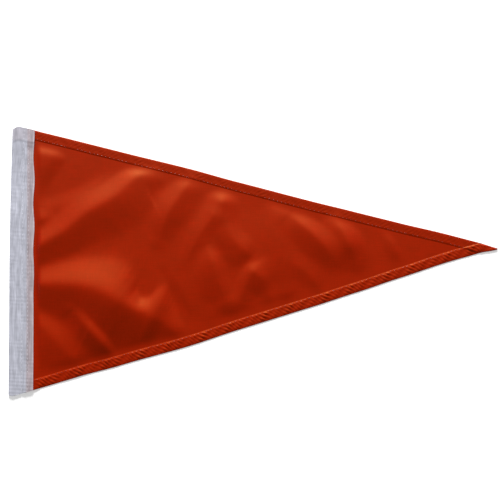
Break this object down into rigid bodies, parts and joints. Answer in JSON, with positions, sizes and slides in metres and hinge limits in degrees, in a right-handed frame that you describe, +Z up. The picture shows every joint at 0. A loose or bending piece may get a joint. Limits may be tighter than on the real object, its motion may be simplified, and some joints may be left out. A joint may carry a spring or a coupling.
{
  "type": "pennant flag",
  "caption": "Small triangular pennant of plain orange-red cloth with hemmed edges and a white woven tape folded over its hoist edge, lying flat with soft creases.",
  "frame": {"origin": "on the surface the flag lies on, under the middle of its outer box", "axes": "+X along the fly from the heading to the tip, +Y up the hoist, +Z up from the surface"},
  "size_m": [0.457, 0.254, 0.0062],
  "materials": {
    "field_cloth": "closely woven polyamide cloth with a soft sheen, orange-red",
    "heading_tape": "matt woven tape, white"
  },
  "bodies": {
    "root": {"field": "field_cloth", "heading": "heading_tape"}
  },
  "joints": []
}
